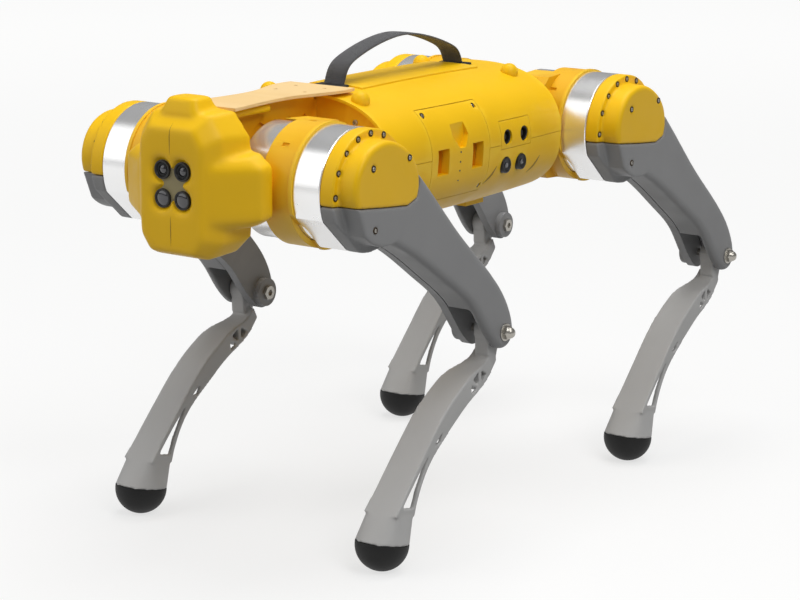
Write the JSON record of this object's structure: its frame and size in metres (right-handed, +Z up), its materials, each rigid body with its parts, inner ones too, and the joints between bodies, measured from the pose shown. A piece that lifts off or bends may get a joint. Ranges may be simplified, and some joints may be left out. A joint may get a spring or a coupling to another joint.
{
  "type": "quadruped robot dog",
  "caption": "Four-legged walking robot with a barrel trunk, a camera head, a carrying strap over its back, geared hip modules and bent legs on ball feet.",
  "frame": {"origin": "on the floor under the middle of the bounding box, the robot standing", "axes": "+X forward along the trunk, +Y to the robot's left, +Z up"},
  "size_m": [0.781, 0.38, 0.488],
  "materials": {
    "yellow_shell": "satin moulded yellow",
    "orange_frame": "satin orange-yellow",
    "orange_bracket": "painted orange-yellow casting",
    "motor_metal": "satin turned",
    "grey_thigh": "fine-grained grey",
    "grey_calf": "fine-grained warm grey",
    "foot_rubber": "matte black",
    "dark_plastic": "matte black",
    "board": "green lacquer",
    "screws": "satin",
    "steel_linkage": "satin",
    "strap_webbing": "woven charcoal",
    "beige_plastic": "matte beige",
    "camera_glass": "dark coated",
    "button_plastic": "matte black"
  },
  "bodies": {
    "trunk": {"trunk_shell_upper": "yellow_shell", "trunk_shell_lower": "yellow_shell", "connector_panel": "yellow_shell", "side_panels": "yellow_shell", "deck_cover": "yellow_shell", "head_shell": "yellow_shell", "front_frame": "orange_frame", "rear_frame": "orange_frame", "abduction_motors": "motor_metal", "battery_pack": "dark_plastic", "main_board": "board", "trunk_screws": "screws", "carrying_strap": "strap_webbing", "camera_plate": "beige_plastic", "camera_lenses": "camera_glass", "top_plate": "beige_plastic", "belly_pads": "yellow_shell"},
    "power_button": {"power_button": "button_plastic"},
    "motor_button": {"motor_button": "button_plastic"},
    "front_left_hip": {"front_left_hip_bracket": "orange_bracket", "front_left_hip_motors": "motor_metal"},
    "front_left_thigh": {"front_left_thigh_shell": "grey_thigh", "front_left_thigh_inner": "grey_thigh", "front_left_thigh_cover": "yellow_shell", "front_left_thigh_fasteners": "screws"},
    "front_left_calf": {"front_left_calf": "grey_calf", "front_left_foot": "foot_rubber"},
    "front_left_crank": {"front_left_knee_crank": "steel_linkage"},
    "front_left_rod": {"front_left_knee_rod": "steel_linkage"},
    "front_right_hip": {"front_right_hip_bracket": "orange_bracket", "front_right_hip_motors": "motor_metal"},
    "front_right_thigh": {"front_right_thigh_shell": "grey_thigh", "front_right_thigh_inner": "grey_thigh", "front_right_thigh_cover": "yellow_shell", "front_right_thigh_fasteners": "screws"},
    "front_right_calf": {"front_right_calf": "grey_calf", "front_right_foot": "foot_rubber"},
    "front_right_crank": {"front_right_knee_crank": "steel_linkage"},
    "front_right_rod": {"front_right_knee_rod": "steel_linkage"},
    "rear_left_hip": {"rear_left_hip_bracket": "orange_bracket", "rear_left_hip_motors": "motor_metal"},
    "rear_left_thigh": {"rear_left_thigh_shell": "grey_thigh", "rear_left_thigh_inner": "grey_thigh", "rear_left_thigh_cover": "yellow_shell", "rear_left_thigh_fasteners": "screws"},
    "rear_left_calf": {"rear_left_calf": "grey_calf", "rear_left_foot": "foot_rubber"},
    "rear_left_crank": {"rear_left_knee_crank": "steel_linkage"},
    "rear_left_rod": {"rear_left_knee_rod": "steel_linkage"},
    "rear_right_hip": {"rear_right_hip_bracket": "orange_bracket", "rear_right_hip_motors": "motor_metal"},
    "rear_right_thigh": {"rear_right_thigh_shell": "grey_thigh", "rear_right_thigh_inner": "grey_thigh", "rear_right_thigh_cover": "yellow_shell", "rear_right_thigh_fasteners": "screws"},
    "rear_right_calf": {"rear_right_calf": "grey_calf", "rear_right_foot": "foot_rubber"},
    "rear_right_crank": {"rear_right_knee_crank": "steel_linkage"},
    "rear_right_rod": {"rear_right_knee_rod": "steel_linkage"}
  },
  "joints": [
    {"name": "power_button_press", "type": "slide", "parent": "trunk", "child": "power_button", "axis": [0, -1, 0], "range_m": [0, 0.0015], "stiffness_N_per_m": 600, "springref_m": -0.0005},
    {"name": "motor_button_press", "type": "slide", "parent": "trunk", "child": "motor_button", "axis": [0, -1, 0], "range_m": [0, 0.0015], "stiffness_N_per_m": 600, "springref_m": -0.0005},
    {"name": "front_left_abduction", "type": "hinge", "parent": "trunk", "child": "front_left_hip", "pos_m": [0.281, 0.047, 0.373], "axis": [1, 0, 0], "range_deg": [-25, 25]},
    {"name": "front_left_thigh_swing", "type": "hinge", "parent": "front_left_hip", "child": "front_left_thigh", "pos_m": [0.281, 0.15, 0.373], "axis": [0, 1, 0], "range_deg": [-90, 35]},
    {"name": "front_left_knee", "type": "hinge", "parent": "front_left_thigh", "child": "front_left_calf", "pos_m": [0.09481, 0.154, 0.20617], "axis": [0, 1, 0], "range_deg": [-58, 55]},
    {"name": "front_left_crank_turn", "type": "hinge", "parent": "front_left_thigh", "child": "front_left_crank", "pos_m": [0.281, 0.14, 0.373], "axis": [0, 1, 0], "range_deg": [-60, 60]},
    {"name": "front_left_rod_pin", "type": "hinge", "parent": "front_left_crank", "child": "front_left_rod", "pos_m": [0.27166, 0.145, 0.38343], "axis": [0, 1, 0], "range_deg": [-60, 60]},
    {"name": "front_right_abduction", "type": "hinge", "parent": "trunk", "child": "front_right_hip", "pos_m": [0.281, -0.047, 0.373], "axis": [1, 0, 0], "range_deg": [-25, 25]},
    {"name": "front_right_thigh_swing", "type": "hinge", "parent": "front_right_hip", "child": "front_right_thigh", "pos_m": [0.281, -0.15, 0.373], "axis": [0, 1, 0], "range_deg": [-90, 35]},
    {"name": "front_right_knee", "type": "hinge", "parent": "front_right_thigh", "child": "front_right_calf", "pos_m": [0.09481, -0.154, 0.20617], "axis": [0, 1, 0], "range_deg": [-58, 55]},
    {"name": "front_right_crank_turn", "type": "hinge", "parent": "front_right_thigh", "child": "front_right_crank", "pos_m": [0.281, -0.14, 0.373], "axis": [0, 1, 0], "range_deg": [-60, 60]},
    {"name": "front_right_rod_pin", "type": "hinge", "parent": "front_right_crank", "child": "front_right_rod", "pos_m": [0.27166, -0.145, 0.38343], "axis": [0, 1, 0], "range_deg": [-60, 60]},
    {"name": "rear_left_abduction", "type": "hinge", "parent": "trunk", "child": "rear_left_hip", "pos_m": [-0.184, 0.047, 0.373], "axis": [1, 0, 0], "range_deg": [-25, 25]},
    {"name": "rear_left_thigh_swing", "type": "hinge", "parent": "rear_left_hip", "child": "rear_left_thigh", "pos_m": [-0.184, 0.15, 0.373], "axis": [0, 1, 0], "range_deg": [-50, 60]},
    {"name": "rear_left_knee", "type": "hinge", "parent": "rear_left_thigh", "child": "rear_left_calf", "pos_m": [-0.37019, 0.154, 0.20617], "axis": [0, 1, 0], "range_deg": [-58, 55]},
    {"name": "rear_left_crank_turn", "type": "hinge", "parent": "rear_left_thigh", "child": "rear_left_crank", "pos_m": [-0.184, 0.14, 0.373], "axis": [0, 1, 0], "range_deg": [-60, 60]},
    {"name": "rear_left_rod_pin", "type": "hinge", "parent": "rear_left_crank", "child": "rear_left_rod", "pos_m": [-0.19334, 0.145, 0.38343], "axis": [0, 1, 0], "range_deg": [-60, 60]},
    {"name": "rear_right_abduction", "type": "hinge", "parent": "trunk", "child": "rear_right_hip", "pos_m": [-0.184, -0.047, 0.373], "axis": [1, 0, 0], "range_deg": [-25, 25]},
    {"name": "rear_right_thigh_swing", "type": "hinge", "parent": "rear_right_hip", "child": "rear_right_thigh", "pos_m": [-0.184, -0.15, 0.373], "axis": [0, 1, 0], "range_deg": [-50, 60]},
    {"name": "rear_right_knee", "type": "hinge", "parent": "rear_right_thigh", "child": "rear_right_calf", "pos_m": [-0.37019, -0.154, 0.20617], "axis": [0, 1, 0], "range_deg": [-58, 55]},
    {"name": "rear_right_crank_turn", "type": "hinge", "parent": "rear_right_thigh", "child": "rear_right_crank", "pos_m": [-0.184, -0.14, 0.373], "axis": [0, 1, 0], "range_deg": [-60, 60]},
    {"name": "rear_right_rod_pin", "type": "hinge", "parent": "rear_right_crank", "child": "rear_right_rod", "pos_m": [-0.19334, -0.145, 0.38343], "axis": [0, 1, 0], "range_deg": [-60, 60]}
  ],
  "couplings": [
    {"joint": "front_left_crank_turn", "follows": "front_left_knee", "ratio": 1},
    {"joint": "front_left_rod_pin", "follows": "front_left_knee", "ratio": -1},
    {"joint": "front_right_crank_turn", "follows": "front_right_knee", "ratio": 1},
    {"joint": "front_right_rod_pin", "follows": "front_right_knee", "ratio": -1},
    {"joint": "rear_left_crank_turn", "follows": "rear_left_knee", "ratio": 1},
    {"joint": "rear_left_rod_pin", "follows": "rear_left_knee", "ratio": -1},
    {"joint": "rear_right_crank_turn", "follows": "rear_right_knee", "ratio": 1},
    {"joint": "rear_right_rod_pin", "follows": "rear_right_knee", "ratio": -1}
  ]
}
